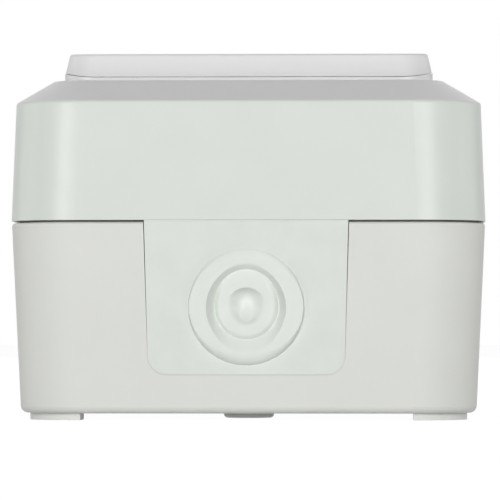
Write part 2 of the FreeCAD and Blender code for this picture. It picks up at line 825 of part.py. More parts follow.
def make_rocker():
    """The button, built level round its own pivot axis."""
    body = new_body("rocker_cap")
    top = f"({ROCKER_EDGE} + rocker_height)"
    outer = ("rocker_width", "rocker_length", "rocker_corner")
    cap = drafted(body, *outer, ROCKER_EDGE, top, "rocker_draft")
    soften(body, cap, "rocker_soft", at_height(top))
    walls = "2 * rocker_wall"
    inner = (f"rocker_width - {walls}", f"rocker_length - {walls}", f"rocker_corner - {walls} / 2")
    pocket(body, plate(body, ROCKER_EDGE, *inner), "rocker_height - rocker_top", True)
    space = scoop("skirt_space", ("-rocker_length", "rocker_length"))
    bind(space, "Placement.Base.z", ROCKER_EDGE)
    pieces = [within("rocker_shell", body, space)]

    # Ribs that carry the pivot pins
    inside = f"{ROCKER_CEILING} + rocker_top / 2"
    for side in ("left", "right"):
        near, far = f"({RIB_OUTER} - rib_thickness)", RIB_OUTER
        tip = f"({RIB_OUTER} + pivot_reach)"
        span = (f"-{far}", f"-{near}") if side == "left" else (near, far)
        reach = (f"-{tip}", f"-{near}") if side == "left" else (near, tip)
        pieces.append(box(f"rib_{side}", span, ("-rib_end / 2", "rib_end / 2"), ("0", inside)))
        pieces.append(rod(f"rib_end_{side}", "rib_end", "x", ("0", "0"), span))
        pieces.append(rod(f"pin_{side}", "pivot_diameter", "x", ("0", "0"), reach))

    # Finger that reaches the toggle
    wide = ("-finger_width / 2", "finger_width / 2")
    thick = ("-finger_thickness / 2", "finger_thickness / 2")
    pieces.append(box("finger", wide, thick, ("-finger_drop", inside)))
    pieces.append(rod("finger_tip_bar", "finger_tip", "x", ("0", "-finger_drop"), wide))
    return tilt(joined("rocker", pieces), PIVOT, "rocker_swing")


def make_toggle():
    """The swinging lever with its spring and plunger, built upright round its own axle."""
    wide = ("-toggle_width / 2", "toggle_width / 2")
    thick = ("-toggle_thickness / 2", "toggle_thickness / 2")
    pieces = [box("toggle_block", wide, thick, ("-toggle_below", "toggle_above"))]
    reach = "(toggle_width / 2 + trunnion_length)"
    pieces.append(rod("trunnions", "trunnion_diameter", "x", ("0", "0"), (f"-{reach}", reach)))
    bottom = "-(toggle_below + stem_length)"
    pieces.append(rod("stem", "stem_diameter", "z", ("0", "0"), (bottom, "0")))
    near = "(finger_tip / 2 + fork_clearance)"
    far = f"({near} + fork_prong)"
    across = ("-fork_width / 2", "fork_width / 2")
    for label, span in (("front", (f"-{far}", f"-{near}")), ("rear", (near, far))):
        pieces.append(box(f"prong_{label}", across, span, ("0", "toggle_drop + fork_above")))
    cavity = "plunger_diameter + 2 * plunger_clearance"
    hole = rod("stem_bore", cavity, "z", ("0", "0"), (bottom, "stem_bore_top"))
    lever = without("toggle", joined("toggle_blank", pieces), [hole])

    tip = "(contact_drop - arm_lift - arm_thickness - plunger_gap)"
    pin = new_body("plunger")
    shank = column(pin, f"-{tip}", "plunger_diameter", "", "", "plunger_length")
    soften(pin, shank, "plunger_soft", at_height(f"-{tip}"))

    # Coil spring between the plunger and the end of the bore
    foot = f"(plunger_length - {tip} + spring_wire / 2)"
    free = f"(stem_bore_top - {foot} - spring_wire / 2)"
    path = doc.addObject("Part::Helix", "spring_path")
    bind(path, "Pitch", f"{free} / spring_turns")
    bind(path, "Height", free)
    bind(path, "Radius", "spring_diameter / 2")
    bind(path, "Placement.Base.z", foot)
    wire = doc.addObject("Part::Circle", "spring_section")
    bind(wire, "Radius", "spring_wire / 2")
    wire.Placement.Rotation = Rotation(Vector(1, 0, 0), 90)
    bind(wire, "Placement.Base.x", "spring_diameter / 2")
    bind(wire, "Placement.Base.z", foot)
    coil = doc.addObject("Part::Sweep", "toggle_spring")
    coil.Sections = [wire]
    coil.Spine = (path, ["Edge1"])
    coil.Solid = True
    coil.Frenet = True
    return [tilt(piece, TOGGLE, f"-{TOGGLE_SWING}") for piece in (lever, pin, coil)]


def make_contact_arm():
    """The see-saw, built level round the bar that it rocks on."""
    half, long_half = "arm_width / 2", "arm_length / 2"
    strip = box(
        "arm_strip",
        (f"-{half}", half),
        (f"-{long_half}", long_half),
        ("arm_lift", "arm_lift + arm_thickness"),
    )
    saddle = "arm_pivot_diameter + 2 * arm_pivot_clearance"
    seat = rod("arm_seat", saddle, "x", ("0", "0"), ("-arm_width", "arm_width"))
    tips = []
    for side in ("-", ""):
        at = ("0", f"{side}tip_spacing / 2")
        tips.append(rod("arm_tip", "tip_diameter", "z", at, ("arm_lift - tip_height", "arm_lift")))
    arm = without("contact_arm", strip, [seat])
    return [tilt(piece, CONTACT, "contact_swing") for piece in (arm, group("contact_arm_tips", tips))]


def terminal_block(label, across, along, seat, wire_axis):
    """A clamp block with a wire hole and a screw hole."""
    x = (f"{across} - terminal_width / 2", f"{across} + terminal_width / 2")
    y = (f"{along} - terminal_length / 2", f"{along} + terminal_length / 2")
    block = box(f"{label}_block", x, y, (seat, f"{seat} + terminal_height"))
    at = {"x": (along, f"{seat} + wire_height"), "y": (across, f"{seat} + wire_height")}[wire_axis]
    span = x if wire_axis == "x" else y
    wire = rod(f"{label}_wire", "wire_hole", wire_axis, at, span)
    thread = rod(
        f"{label}_thread",
        "terminal_screw_diameter + 2 * terminal_screw_clearance",
        "z",
        (across, along),
        (f"{seat} + wire_height", f"{seat} + terminal_height"),
    )
    return without(f"{label}_clamp", block, [wire, thread])


def make_terminals():
    strip = (TRAY_FLOOR, f"{TRAY_FLOOR} + strip_thickness")
    half = "terminal_width / 2"
    inner = "(tip_spacing / 2 - fixed_tip_diameter / 2)"
    nodes, tips = [], []
    for label, side in (("front", "-"), ("rear", "")):
        along = f"{side}{TERMINAL_ALONG}"
        span = (f"-{TERMINAL_ALONG}", f"-{inner}") if side else (inner, TERMINAL_ALONG)
        clamp = terminal_block(f"{label}_terminal", "0", along, TRAY_FLOOR, "y")
        tongue = box(f"{label}_strip", (f"-{half}", half), span, strip)
        foot = joined(f"{label}_foot", [tongue, clamp])
        nodes.append(foot)
        foot.Label = f"{label}_terminal"
        at = ("0", f"{side}tip_spacing / 2")
        crest = f"{CONTACT} - {FIXED_TIP_DROP}"
        tips.append(rod(f"{label}_tip", "fixed_tip_diameter", "z", at, (strip[1], crest)))

    # Common terminal: a post with a rocking bar, and a link that runs under the cheek to its clamp
    across, along = f"-{COMMON_ACROSS}", f"-{TERMINAL_ALONG}"
    wide = ("-post_width / 2", "post_width / 2")
    thick = ("-post_thickness / 2", "post_thickness / 2")
    link = (f"{across} - post_thickness / 2", f"{across} + post_thickness / 2")
    pieces = [
        box("post", wide, thick, (TRAY_FLOOR, CONTACT)),
        rod("post_bar", "arm_pivot_diameter", "x", ("0", CONTACT), wide),
        box("post_link", (link[0], "0"), thick, strip),
        box("side_link", link, (along, thick[1]), strip),
        terminal_block("common_terminal", across, along, TRAY_FLOOR, "y"),
    ]
    common = joined("common_foot", pieces)
    common.Label = "common_terminal"
    earth = terminal_block("earth_terminal", "earth_across", EARTH_ALONG, EARTH_SEAT, "x")
    earth.Label = "earth_terminal"

    spots = [
        ("0", f"-{TERMINAL_ALONG}", TRAY_FLOOR),
        ("0", TERMINAL_ALONG, TRAY_FLOOR),
        (across, along, TRAY_FLOOR),
        ("earth_across", EARTH_ALONG, EARTH_SEAT),
    ]
    screws = [
        screw(
            "terminal_screw",
            "terminal_head_diameter",
            "terminal_head_height",
            "terminal_screw_diameter",
            "terminal_screw_reach",
            "terminal_slot_width",
            "terminal_slot_depth",
            x,
            y,
            f"{seat} + terminal_height",
        )
        for x, y, seat in spots
    ]
    return nodes + [common, earth, group("fixed_contact_tips", tips), group("terminal_screws", screws)]


def make_mechanism():
    wide = ("-tray_width / 2", "tray_width / 2")
    deep = ("-tray_length / 2", "tray_length / 2")
    inside_x = ("tray_wall - tray_width / 2", "tray_width / 2 - tray_wall")
    inside_y = ("tray_wall - tray_length / 2", "tray_length / 2 - tray_wall")
    hull = box("tray_hull", wide, deep, (TRAY_BASE, TRAY_TOP))
    hollow = box("tray_hollow", inside_x, inside_y, (TRAY_FLOOR, f"{TRAY_TOP} + tray_floor"))
    pieces, tools, screws = [without("tray_open", hull, [hollow])], [], []
    length = ("-cheek_length / 2", "cheek_length / 2")
    ear_y = ("-ear_width / 2", "ear_width / 2")
    for side in ("left", "right"):
        sign = "-" if side == "left" else ""
        cheek = [CHEEK, f"({CHEEK} + cheek_thickness)"]
        ear = ["(tray_width / 2 - tray_wall / 2)", "(tray_width / 2 + ear_length)"]
        if sign:
            cheek = [f"-{cheek[1]}", f"-{cheek[0]}"]
            ear = [f"-{ear[1]}", f"-{ear[0]}"]
        pieces.append(box(f"cheek_{side}", cheek, length, (f"{TRAY_FLOOR} - tray_floor / 2", TRAY_TOP)))
        pieces.append(box(f"ear_{side}", ear, ear_y, (EAR, f"{EAR} + ear_thickness")))
        bearing = "trunnion_diameter + 2 * trunnion_clearance"
        tools.append(rod(f"bearing_{side}", bearing, "x", ("0", TOGGLE), cheek))
        at = (f"{sign}(tray_width / 2 + block_screw_inset)", "0")
        hole = "block_screw_diameter + 2 * block_screw_clearance"
        tools.append(rod(f"ear_hole_{side}", hole, "z", at, (EAR, f"{EAR} + ear_thickness")))
        screws.append(
            screw(
                "mechanism_screw",
                "block_head_diameter",
                "block_head_height",
                "block_screw_diameter",
                "block_screw_length",
                "block_slot_width",
                "block_slot_depth",
                *at,
                f"{EAR} + ear_thickness",
            )
        )

    # Passage for the common link under the left cheek, and wire ports
    room = "(post_thickness / 2 + link_clearance)"
    tools.append(
        box(
            "link_passage",
            (f"-({CHEEK} + 2 * cheek_thickness)", "0"),
            (f"-{room}", room),
            (TRAY_FLOOR, f"{TRAY_FLOOR} + strip_thickness + link_clearance"),
        )
    )
    ports = [("front", "0", "-"), ("rear", "0", ""), ("common", f"-{COMMON_ACROSS}", "-")]
    for label, across, sign in ports:
        span = ("-tray_length / 2", "tray_wall - tray_length / 2")
        if not sign:
            span = ("tray_length / 2 - tray_wall", "tray_length / 2")
        at = (across, f"{TRAY_FLOOR} + wire_height")
        tools.append(rod(f"port_{label}", "wire_port", "y", at, span))
    tray = without("mechanism_tray", joined("tray_blank", pieces), tools)

    # Cover with a window for the toggle and holes over the terminal screws
    level = (TRAY_TOP, f"{TRAY_TOP} + cover_thickness")
    blank = box("cover_plate", wide, deep, level)
    half, long_half = "cover_window_width / 2", "cover_window_length / 2"
    openings = [box("cover_window", (f"-{half}", half), (f"-{long_half}", long_half), level)]
    for label, across, sign in ports:
        at = (across, f"{sign}{TERMINAL_ALONG}")
        openings.append(rod(f"access_{label}", "access_hole", "z", at, level))
    cover = without("mechanism_cover", blank, openings)
    return [tray, cover, group("mechanism_screws", screws)]


nodes = [make_base(), make_entry(), make_lid(), make_gasket()]
nodes += make_lid_screws()
nodes += [make_window_seal(), make_rocker()]
nodes += make_toggle()
nodes += make_contact_arm()
nodes += make_terminals()
nodes += make_mechanism()
doc.recompute()

for thing in doc.Objects:
    if "Invalid" in thing.State or "Error" in thing.State:
        raise SystemExit(f"{thing.Label} was not built: {thing.State}")
os.makedirs("parts", exist_ok=True)
for node in nodes:
    if node.Shape.isNull() or not node.Shape.isValid():
        raise SystemExit(f"{node.Label} has no valid shape")
    node.Shape.exportStep(f"parts/{node.Label}.step")
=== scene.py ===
import json
import math

import bpy
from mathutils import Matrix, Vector

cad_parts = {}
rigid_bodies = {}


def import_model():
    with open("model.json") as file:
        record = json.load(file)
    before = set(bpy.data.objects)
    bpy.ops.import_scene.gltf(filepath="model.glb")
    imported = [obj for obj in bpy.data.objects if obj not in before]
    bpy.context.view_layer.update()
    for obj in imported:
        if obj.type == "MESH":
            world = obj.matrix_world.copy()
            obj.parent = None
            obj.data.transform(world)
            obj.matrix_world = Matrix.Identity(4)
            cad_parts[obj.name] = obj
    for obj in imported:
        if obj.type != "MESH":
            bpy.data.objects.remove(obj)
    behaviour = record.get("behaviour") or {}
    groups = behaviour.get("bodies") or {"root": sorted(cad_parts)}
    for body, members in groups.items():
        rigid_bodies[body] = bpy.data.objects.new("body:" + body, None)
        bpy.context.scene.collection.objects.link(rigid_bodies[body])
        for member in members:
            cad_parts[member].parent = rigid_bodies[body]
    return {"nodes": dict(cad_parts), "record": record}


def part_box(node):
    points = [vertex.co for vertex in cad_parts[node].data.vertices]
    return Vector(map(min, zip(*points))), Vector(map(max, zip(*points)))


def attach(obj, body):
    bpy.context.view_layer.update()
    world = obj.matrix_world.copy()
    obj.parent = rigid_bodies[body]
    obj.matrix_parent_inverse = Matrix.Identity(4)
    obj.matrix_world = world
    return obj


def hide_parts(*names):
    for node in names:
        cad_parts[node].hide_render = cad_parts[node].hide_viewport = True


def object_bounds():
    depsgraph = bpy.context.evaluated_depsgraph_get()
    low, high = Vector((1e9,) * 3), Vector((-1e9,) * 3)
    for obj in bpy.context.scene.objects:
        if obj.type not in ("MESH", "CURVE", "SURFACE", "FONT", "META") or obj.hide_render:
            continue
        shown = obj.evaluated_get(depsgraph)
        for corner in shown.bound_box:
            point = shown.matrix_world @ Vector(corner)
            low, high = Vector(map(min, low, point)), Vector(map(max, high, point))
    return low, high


for startup in list(bpy.data.objects):
    bpy.data.objects.remove(startup)
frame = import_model()
CAD_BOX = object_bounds()
NODES = frame["nodes"]
SLOTS = {part["node"]: part["material_slot"] for part in frame["record"]["subparts"]}
MM = 0.001

# Camera: a long lens, low and a little to the right of the cable-entry end
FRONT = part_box("lid")[0].y
IMAGE_PIXELS = 500
PIXELS_PER_METRE = 7300
CAMERA_DISTANCE = 600 * MM
CAMERA_ASIDE = 20 * MM
CAMERA_HEIGHT = 12.4 * MM
AIM_ASIDE = 0.55 * MM
AIM_HEIGHT = 23.4 * MM
NEAREST = 10 * MM
FARTHEST = 50
SENSOR_IN_MM = 36.0

# World: the rays that see it as white, and its strength as it lights the object and as it is seen
VIEWING_RAYS = ("Is Camera Ray", "Is Glossy Ray", "Is Transmission Ray")
WORLD_LIGHTING = 0.16
WORLD_SEEN = 1.0

# Floor: share of light that it throws back and its own glow, as it lights the object and as it is seen
FLOOR_SIZE = 6
FLOOR_LIGHTING = (0.48, 0.14)
FLOOR_SEEN = (0.1, 0.96)

# Cable-entry insert: upright tongue, and plate that leans with the wall that it fills
ENTRY_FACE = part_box("base_box")[0].y
TONGUE_HEIGHT = 2.2 * MM
TONGUE_FRONT = 1.1 * MM
TONGUE_BACK = 2.0 * MM
ENTRY_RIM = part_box("cable_entry_insert")[1].z - TONGUE_HEIGHT
ENTRY_LEAN = math.radians(2.6)
ENTRY_RISE = 21.0 * MM
ENTRY_WIDTH = 28.3 * MM
ENTRY_LOW_WIDTH = 27.0 * MM
ENTRY_CORNER = 2.6 * MM
ENTRY_GAP = 0.12 * MM
ENTRY_SNUG = 0.002 * MM
ENTRY_TOP = 0.27 * MM
ENTRY_DEPTH = 2.26 * MM
ENTRY_SOFT = 0.005 * MM
TOP_INSET_SHARE = 0.25
FLANGE_REACH = 1.5 * MM
FLANGE_THICKNESS = 1.6 * MM

# Cable-entry insert: ring, whose middle is measured along the plate from the rim
RING_HEIGHT = 15.55 * MM
RING_MIDDLE = (RING_HEIGHT - ENTRY_RIM) / math.cos(ENTRY_LEAN)
RING_RADIUS = 8.0 * MM
RING_PROUD = 0.6 * MM
RING_THICKNESS = 2.4 * MM
RING_HOLE = 7.45 * MM
MOAT_RADIUS = 9.25 * MM

# Membrane at its top, sides and bottom: radii of its parts
GROOVE_WALL = (6.0 * MM, 5.5 * MM, 6.4 * MM)
GROOVE_FOOT = (5.2 * MM, 4.4 * MM, 4.4 * MM)
CORE_EDGE = (4.9 * MM, 3.7 * MM, 3.65 * MM)

# Membrane at its top, sides and bottom: widths of the ring's rounded edge and of the dimple's bank
RING_SOFT = (1.0 * MM, 0.18 * MM, 1.7 * MM)
DIMPLE_BANK = (2.6 * MM, 2.2 * MM, 0.5 * MM)

# Largest share of the ring's face that its rounded edge takes
RING_SOFT_LIMIT = 0.98

# Membrane at its top, sides and bottom: depths below the ring's face, and of the moat below the plate
GROOVE_DROP = (0.78 * MM, 2.1 * MM, 0.85 * MM)
CORE_DROP = (0.75 * MM, 1.15 * MM, 0.3 * MM)
MOAT_DEPTH = (0.0, 0.35 * MM, 0.1 * MM)

# Membrane at its top, sides and bottom: shares of a bulging groove wall and of a steep dimple bank
GROOVE_BULGE = (1, 0, 1)
DIMPLE_STEEP = (1, 0, 0)

# Dimple: heights above the ring's centre of its own centre and of the line below which its floor rises
DIMPLE_LIFT = 0.1 * MM
DIMPLE_TILT = 0.9 * MM

# Dimple: its radius and depth, and the drop of the core's face at the ring's centre
DIMPLE_RADIUS = 2.62 * MM
DIMPLE_DEPTH = 2.0 * MM
CENTRE_DROP = 0.5 * MM

# Powers of the curves along the membrane's section, and of the changes from its sides to top and bottom
BANK_CURVE = 3
DIMPLE_CURVE = 1.5
CORE_CURVE = 2
GROOVE_CURVE = 1.25
EDGE_CURVE = 0.8
MOAT_CURVE = 1.6
WALL_CHANGE = 4
DROP_CHANGE = 1.5
OTHER_CHANGE = 2

# Steps of the insert's mesh: between the membrane's marks, over the plate and round its outline
MEMBRANE_STEPS = (8, 20, 3, 6, 10, 3, 10, 6)
PLATE_STEPS = 7
SOFT_STEPS = 3
CORNER_STEPS = 20
SIDE_STEPS = 90
TOP_STEPS = 120
SILL_STEPS = 110
SHARP_ANGLE = math.radians(40)

# Bands of another colour, two of them painted shade and painted light: heights between which it sets in,
# then its shares of red, green and blue
# Painted shade: the base's tongue above the rim is darkened to a quarter, for the shadow in the gap
# between lid and base
JOINT_PAINTED_SHADE = (ENTRY_RIM + 0.02 * MM, ENTRY_RIM + 0.05 * MM, (0.25, 0.25, 0.25))
BEVEL_TINT = (43.8 * MM, 44.0 * MM, (1.015, 0.96, 1.025))
# Painted light: the rocker's front grows lighter towards its top edge, by up to 13 per cent
ROCKER_PAINTED_LIGHT = (47.7 * MM, 50.1 * MM, (1.13, 1.13, 1.13))

# Disc of painted light: height of its middle, radius, then its shares of red, green and blue
# Painted light: the insert's ring, with all inside it, is made about six per cent lighter than the rubber
# round it
RING_PAINTED_LIGHT = (RING_HEIGHT, RING_RADIUS, (1.06, 1.055, 1.06))

# Share of a disc's radius within which its shade is full
DISC_FULL_SHARE = 0.97

# Shader nodes: range that holds most of a noise, and colour sockets of a mix
NOISE_RANGE = (0.3, 0.7)
MIX_FACTOR = 0
MIX_FIRST = 6
MIX_SECOND = 7
MIX_RESULT = 2


def make_camera():
    data = bpy.data.cameras.new("camera")
    data.sensor_width = SENSOR_IN_MM
    data.lens = PIXELS_PER_METRE * CAMERA_DISTANCE * SENSOR_IN_MM / IMAGE_PIXELS
    data.clip_start = NEAREST
    data.clip_end = FARTHEST
    camera = bpy.data.objects.new("camera", data)
    bpy.context.scene.collection.objects.link(camera)
    camera.location = (CAMERA_ASIDE, FRONT - CAMERA_DISTANCE, CAMERA_HEIGHT)
    aim = Vector((AIM_ASIDE, FRONT, AIM_HEIGHT))
    camera.rotation_euler = (aim - camera.location).to_track_quat("-Z", "Y").to_euler()
    bpy.context.scene.camera = camera


def softbox(name, azimuth, elevation, distance, width, height, watts):
    """A rectangular lamp that faces the object's middle from so many degrees right of the front and up."""
    data = bpy.data.lights.new(name, "AREA")
    data.shape = "RECTANGLE"
    data.size = width
    data.size_y = height
    data.energy = watts
    lamp = bpy.data.objects.new(name, data)
    bpy.context.scene.collection.objects.link(lamp)
    low, high = CAD_BOX
    middle = (low + high) / 2
    turn, rise = math.radians(azimuth), math.radians(elevation)
    back = Vector((math.sin(turn) * math.cos(rise), -math.cos(turn) * math.cos(rise), math.sin(rise)))
    lamp.location = middle + distance * back
    lamp.rotation_euler = (-back).to_track_quat("-Z", "Y").to_euler()
    return lamp


def make_lights():
    """Lamps round the object: the front and rear ones leave no gloss, and the gleams nothing else."""
    for name, azimuth in (("left_side", -100), ("right_side", 100)):
        softbox(name, azimuth, elevation=4, distance=1.2, width=0.9, height=0.9, watts=4.0)
    front = softbox("front", azimuth=-1, elevation=12, distance=1.0, width=0.45, height=0.45, watts=6.5)
    front.visible_glossy = False
    for name, azimuth in (("left_rear", -160), ("right_rear", 160)):
        rear = softbox(name, azimuth, elevation=28, distance=1.2, width=0.7, height=0.5, watts=5.0)
        rear.visible_glossy = False
    for name, azimuth in (("left_gleam", -26), ("right_gleam", 20)):
        gleam = softbox(name, azimuth, elevation=5, distance=0.9, width=0.36, height=0.3, watts=2.9)
        gleam.visible_diffuse = False


def show_apart(tree, output, lighting, seen):
    """Gives one shader to the viewing rays and another to the rays that light the object."""
    path = tree.nodes.new("ShaderNodeLightPath")
    viewing = path.outputs[VIEWING_RAYS[0]]
    for ray in VIEWING_RAYS[1:]:
        either = tree.nodes.new("ShaderNodeMath")
        either.operation = "MAXIMUM"
        tree.links.new(viewing, either.inputs[0])
        tree.links.new(path.outputs[ray], either.inputs[1])
        viewing = either.outputs[0]
    mix = tree.nodes.new("ShaderNodeMixShader")
    for source, socket in zip((viewing, lighting, seen), mix.inputs):
        tree.links.new(source, socket)
    tree.links.new(mix.outputs[0], tree.nodes.new(output).inputs["Surface"])


def make_world():
    world = bpy.data.worlds.new("studio")
    bpy.context.scene.world = world
    world.use_nodes = True
    tree = world.node_tree
    tree.nodes.clear()
    shades = []
    for strength in (WORLD_LIGHTING, WORLD_SEEN):
        shade = tree.nodes.new("ShaderNodeBackground")
        shade.inputs["Color"].default_value = (1, 1, 1, 1)
        shade.inputs["Strength"].default_value = strength
        shades.append(shade.outputs[0])
    show_apart(tree, "ShaderNodeOutputWorld", *shades)


def make_floor():
    bpy.ops.mesh.primitive_plane_add(size=FLOOR_SIZE)
    floor = bpy.context.object
    floor.name = "floor"
    material = bpy.data.materials.new("floor_white")
    material.use_nodes = True
    tree = material.node_tree
    tree.nodes.clear()
    shades = []
    for albedo, strength in (FLOOR_LIGHTING, FLOOR_SEEN):
        paint = tree.nodes.new("ShaderNodeBsdfDiffuse")
        paint.inputs["Color"].default_value = (albedo, albedo, albedo, 1)
        glow = tree.nodes.new("ShaderNodeEmission")
        glow.inputs["Strength"].default_value = strength
        shade = tree.nodes.new("ShaderNodeAddShader")
        tree.links.new(paint.outputs[0], shade.inputs[0])
        tree.links.new(glow.outputs[0], shade.inputs[1])
        shades.append(shade.outputs[0])
    show_apart(tree, "ShaderNodeOutputMaterial", *shades)
    floor.data.materials.append(material)


class Finish:
    """A node material whose colour, roughness and relief all vary over the surface."""

    def __init__(self):
        self.material = bpy.data.materials.new("finish")
        self.material.use_nodes = True
        self.nodes = self.material.node_tree.nodes
        self.links = self.material.node_tree.links
        self.shader = self.nodes["Principled BSDF"]
        self.place = self.nodes.new("ShaderNodeTexCoord").outputs["Object"]

    def noise(self, size, detail, stretch=(1, 1, 1)):
        """Noise whose blotches are about as wide as a size in metres."""
        mapping = self.nodes.new("ShaderNodeMapping")
        mapping.inputs["Scale"].default_value = [1 / (size * s) for s in stretch]
        self.links.new(self.place, mapping.inputs["Vector"])
        made = self.nodes.new("ShaderNodeTexNoise")
        made.inputs["Scale"].default_value = 1.0
        made.inputs["Detail"].default_value = detail
        self.links.new(mapping.outputs[0], made.inputs["Vector"])
        return made.outputs["Fac"]

    def ranged(self, value, start, end, low=0.0, high=1.0):
        """A value carried from one range, start to end, to another, low to high."""
        spread = self.nodes.new("ShaderNodeMapRange")
        spread.inputs["From Min"].default_value = start
        spread.inputs["From Max"].default_value = end
        spread.inputs["To Min"].default_value = low
        spread.inputs["To Max"].default_value = high
        self.links.new(value, spread.inputs["Value"])
        return spread.outputs[0]

    def band(self, start, end):
        """A factor that changes from 0 to 1 between two heights."""
        parts = self.nodes.new("ShaderNodeSeparateXYZ")
        self.links.new(self.place, parts.inputs[0])
        return self.ranged(parts.outputs["Z"], start, end)

    def disc(self, height, radius):
        """A factor that is 1 round an axis along Y at a height."""
        away = self.nodes.new("ShaderNodeVectorMath")
        away.operation = "MULTIPLY_ADD"
        away.inputs[1].default_value = (1, 0, 1)
        away.inputs[2].default_value = (0, 0, -height)
        self.links.new(self.place, away.inputs[0])
        length = self.nodes.new("ShaderNodeVectorMath")
        length.operation = "LENGTH"
        self.links.new(away.outputs[0], length.inputs[0])
        return self.ranged(length.outputs["Value"], radius, DISC_FULL_SHARE * radius)

    def mix(self, factor, second, kind="MIX"):
        """Sets the base colour by mixing a second colour in, and returns the first colour's socket."""
        mix = self.nodes.new("ShaderNodeMix")
        mix.data_type = "RGBA"
        mix.blend_type = kind
        mix.inputs[MIX_SECOND].default_value = (*second, 1)
        self.links.new(factor, mix.inputs[MIX_FACTOR])
        self.links.new(mix.outputs[MIX_RESULT], self.shader.inputs["Base Color"])
        return mix.inputs[MIX_FIRST]

    def colour(self, factor, colour, spread):
        """A base colour that wanders by a share to either side."""
        darker = [c * (1 - spread) for c in colour]
        lighter = [min(1, c * (1 + spread)) for c in colour]
        self.mix(self.ranged(factor, *NOISE_RANGE), lighter).default_value = (*darker, 1)

    def tint(self, zone, shares):
        """The colour set so far, multiplied by three shares where the zone is 1."""
        before = self.shader.inputs["Base Color"].links[0].from_socket
        self.links.new(before, self.mix(zone, shares, "MULTIPLY"))

    def roughness(self, factor, middle, spread):
        varied = self.ranged(factor, *NOISE_RANGE, middle - spread, middle + spread)
        self.links.new(varied, self.shader.inputs["Roughness"])

    def relief(self, factor, depth, below=None):
        """Bumps of a depth in metres, laid over other bumps."""
        bump = self.nodes.new("ShaderNodeBump")
        bump.inputs["Strength"].default_value = 1.0
        bump.inputs["Distance"].default_value = depth
        self.links.new(factor, bump.inputs["Height"])
        if below:
            self.links.new(below, bump.inputs["Normal"])
        self.links.new(bump.outputs[0], self.shader.inputs["Normal"])
        return bump.outputs[0]


def moulded(colour, roughness, grain, depth, spread=0.012, gloss=0.5, zone=None):
    """Moulded plastic: clouded pigment, and fine mould texture over flow waves four times as deep."""
    finish = Finish()
    finish.shader.inputs["Specular IOR Level"].default_value = gloss
    finish.colour(finish.noise(size=9 * MM, detail=4), colour, spread)
    # The band is painted shade in the base's joint and painted light on the rocker's front; on the lid it
    # only makes the bevel greyer
    if zone:
        start, end, shares = zone
        finish.tint(finish.band(start, end), shares)
    finish.roughness(finish.noise(size=3 * MM, detail=3), roughness, spread=0.015)
    flow = finish.noise(size=14 * MM, detail=1, stretch=(1, 1, 2.5))
    waves = finish.relief(flow, depth=4 * depth)
    finish.relief(finish.noise(size=grain, detail=3), depth, below=waves)
    return finish.material


def rubber(colour, roughness, grain, depth, gloss=0.35, zone=None):
    """Soft elastomer: matt, with a bloom that clouds its colour."""
    finish = Finish()
    finish.shader.inputs["Specular IOR Level"].default_value = gloss
    finish.colour(finish.noise(size=4 * MM, detail=5), colour, spread=0.02)
    # The disc is painted light on the insert's ring
    if zone:
        height, radius, shares = zone
        finish.tint(finish.disc(height, radius), shares)
    finish.roughness(finish.noise(size=1.5 * MM, detail=3), roughness, spread=0.06)
    finish.relief(finish.noise(size=grain, detail=2), depth)
    return finish.material


def metal(colour, roughness, stretch):
    """Metal with drawn or brushed streaks."""
    finish = Finish()
    finish.shader.inputs["Metallic"].default_value = 1.0
    finish.colour(finish.noise(size=2 * MM, detail=4), colour, spread=0.08)
    streaks = finish.noise(size=0.12 * MM, detail=3, stretch=stretch)
    finish.roughness(streaks, roughness, spread=0.08)
    finish.relief(streaks, depth=0.002 * MM)
    return finish.material


def make_finishes():
    """The record's material slots, each with its material."""
    finishes = {
        # The base's plastic carries painted shade on its tongue above the rim
        "base_plastic": moulded((0.7, 0.711, 0.675), 0.55, 0.3 * MM, 0.0015 * MM, zone=JOINT_PAINTED_SHADE),
        "lid_plastic": moulded(
            (0.676, 0.716, 0.669), 0.34, 0.4 * MM, 0.0006 * MM, gloss=0.35, zone=BEVEL_TINT
        ),
        # The rocker's plastic carries painted light towards the top of its front
        "rocker_plastic": moulded((0.653, 0.658, 0.653), 0.36, 0.4 * MM, 0.0006 * MM, zone=ROCKER_PAINTED_LIGHT),
        # The insert's rubber carries painted light on its ring
        "entry_rubber": rubber((0.723, 0.759, 0.717), 0.6, 0.3 * MM, 0.0012 * MM, zone=RING_PAINTED_LIGHT),
        "seal_rubber": rubber((0.03, 0.03, 0.032), 0.65, 0.25 * MM, 0.003 * MM),
        "tray_plastic": moulded((0.76, 0.74, 0.68), 0.5, 0.35 * MM, 0.002 * MM),
        "toggle_plastic": moulded((0.075, 0.08, 0.085), 0.42, 0.35 * MM, 0.002 * MM, spread=0.08),
        "spring_steel": metal((0.56, 0.56, 0.57), 0.3, stretch=(1, 1, 12)),
        "screw_steel": metal((0.66, 0.66, 0.65), 0.32, stretch=(12, 12, 1)),
        "terminal_brass": metal((0.72, 0.5, 0.2), 0.3, stretch=(1, 14, 1)),
        "contact_silver": metal((0.8, 0.79, 0.76), 0.28, stretch=(6, 6, 1)),
    }
    for slot, material in finishes.items():
        material.name = slot
    return finishes


def dress_nodes(finishes):
    """Gives each CAD node the material of its slot."""
    for node, slot in SLOTS.items():
        materials = NODES[node].data.materials
        materials.clear()
        materials.append(finishes[slot])


def blend(start, end, t):
    return start + (end - start) * t


def progress(value, start, end):
    """How far a value lies from start to end, from 0 to 1."""
    return min(1.0, max(0.0, (value - start) / (end - start)))


def smooth(t):
    """A rise from 0 to 1 with level ends."""
    return t * t * (3 - 2 * t)


def eased(t, power):
    """A rise from 0 to 1 that slows towards its end."""
    return 1 - (1 - t) ** power


def stations(marks, steps):
    """Values from the first mark to the last, with so many steps between each pair."""
    values = [marks[0]]
    for low, high, count in zip(marks, marks[1:], steps):
        values += [blend(low, high, (i + 1) / count) for i in range(count)]
    return values


